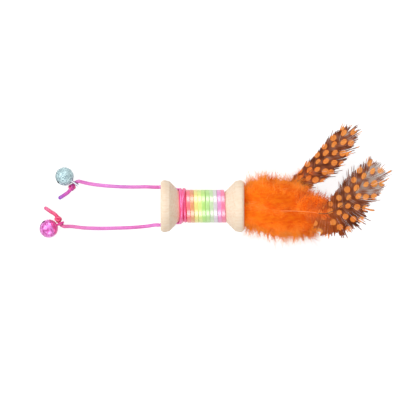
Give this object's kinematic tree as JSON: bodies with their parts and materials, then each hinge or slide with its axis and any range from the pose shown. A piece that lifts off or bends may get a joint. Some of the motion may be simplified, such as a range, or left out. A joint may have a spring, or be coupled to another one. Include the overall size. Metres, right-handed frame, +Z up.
{
  "type": "cat spool toy",
  "caption": "Wooden thread spool wound with satin cord, with feathers glued into its bore and jingle bells on strings from its flange, for a cat to bat and chase.",
  "frame": {"origin": "middle of the bottom of the toy's box without its strings and knots, on the surface it lies on", "axes": "+X along the spool towards the feathers, +Z up, +Y to the side that the upper guinea feather leans to"},
  "size_m": [0.1852, 0.0616, 0.0301],
  "materials": {
    "birch_wood": "sanded, unvarnished",
    "rainbow_cord": "satin, dyed from pink through yellow and green to lavender",
    "pink_cord": "satin",
    "aqua_bell_metal": "frosted metallic lacquer",
    "magenta_bell_metal": "glossy metallic lacquer",
    "bright_steel": "bright plated",
    "clear_glue": "set hot glue",
    "orange_marabou": "dyed down",
    "spotted_feather": "dyed barbs with orange spots"
  },
  "bodies": {
    "spool": {"spool": "birch_wood", "cord_winding": "rainbow_cord", "string_bridle": "pink_cord", "glue_plug": "clear_glue", "marabou_plume_top_left": "orange_marabou", "marabou_plume_top_right": "orange_marabou", "marabou_plume_bottom_left": "orange_marabou", "marabou_plume_bottom_right": "orange_marabou", "guinea_feather_upper": "spotted_feather", "guinea_feather_lower": "spotted_feather"},
    "upper_string": {"upper_string": "pink_cord", "upper_knot": "pink_cord"},
    "upper_bell": {"upper_bell_cap": "aqua_bell_metal", "upper_bell_cup": "aqua_bell_metal", "upper_bell_shank": "bright_steel"},
    "upper_ball": {"upper_bell_ball": "bright_steel"},
    "lower_string": {"lower_string": "pink_cord", "lower_knot": "pink_cord"},
    "lower_bell": {"lower_bell_cap": "magenta_bell_metal", "lower_bell_cup": "magenta_bell_metal", "lower_bell_shank": "magenta_bell_metal"},
    "lower_ball": {"lower_bell_ball": "bright_steel"}
  },
  "joints": [
    {"name": "upper_string_swing", "type": "hinge", "parent": "spool", "child": "upper_string", "pos_m": [-0.02831, -0.00353, 0.014], "axis": [0, 1, 0], "range_deg": [-75, 75]},
    {"name": "upper_bell_swing", "type": "hinge", "parent": "upper_string", "child": "upper_bell", "pos_m": [-0.0736, -0.00137, 0.00384], "axis": [-0.5519, -0.8339, 0], "range_deg": [-80, 80]},
    {"name": "upper_ball_roll", "type": "hinge", "parent": "upper_bell", "child": "upper_ball", "pos_m": [-0.0791, 0.00227, 0.005], "axis": [0.8212, -0.5436, -0.1736], "continuous": true},
    {"name": "lower_string_swing", "type": "hinge", "parent": "spool", "child": "lower_string", "pos_m": [-0.02831, -0.02393, 0.014], "axis": [0, 1, 0], "range_deg": [-75, 75]},
    {"name": "lower_bell_swing", "type": "hinge", "parent": "lower_string", "child": "lower_bell", "pos_m": [-0.08153, -0.02325, 0.00384], "axis": [-0.3907, 0.9205, 0], "range_deg": [-80, 80]},
    {"name": "lower_ball_roll", "type": "hinge", "parent": "lower_bell", "child": "lower_ball", "pos_m": [-0.08761, -0.02583, 0.005], "axis": [0.9065, 0.3848, -0.1736], "continuous": true}
  ]
}
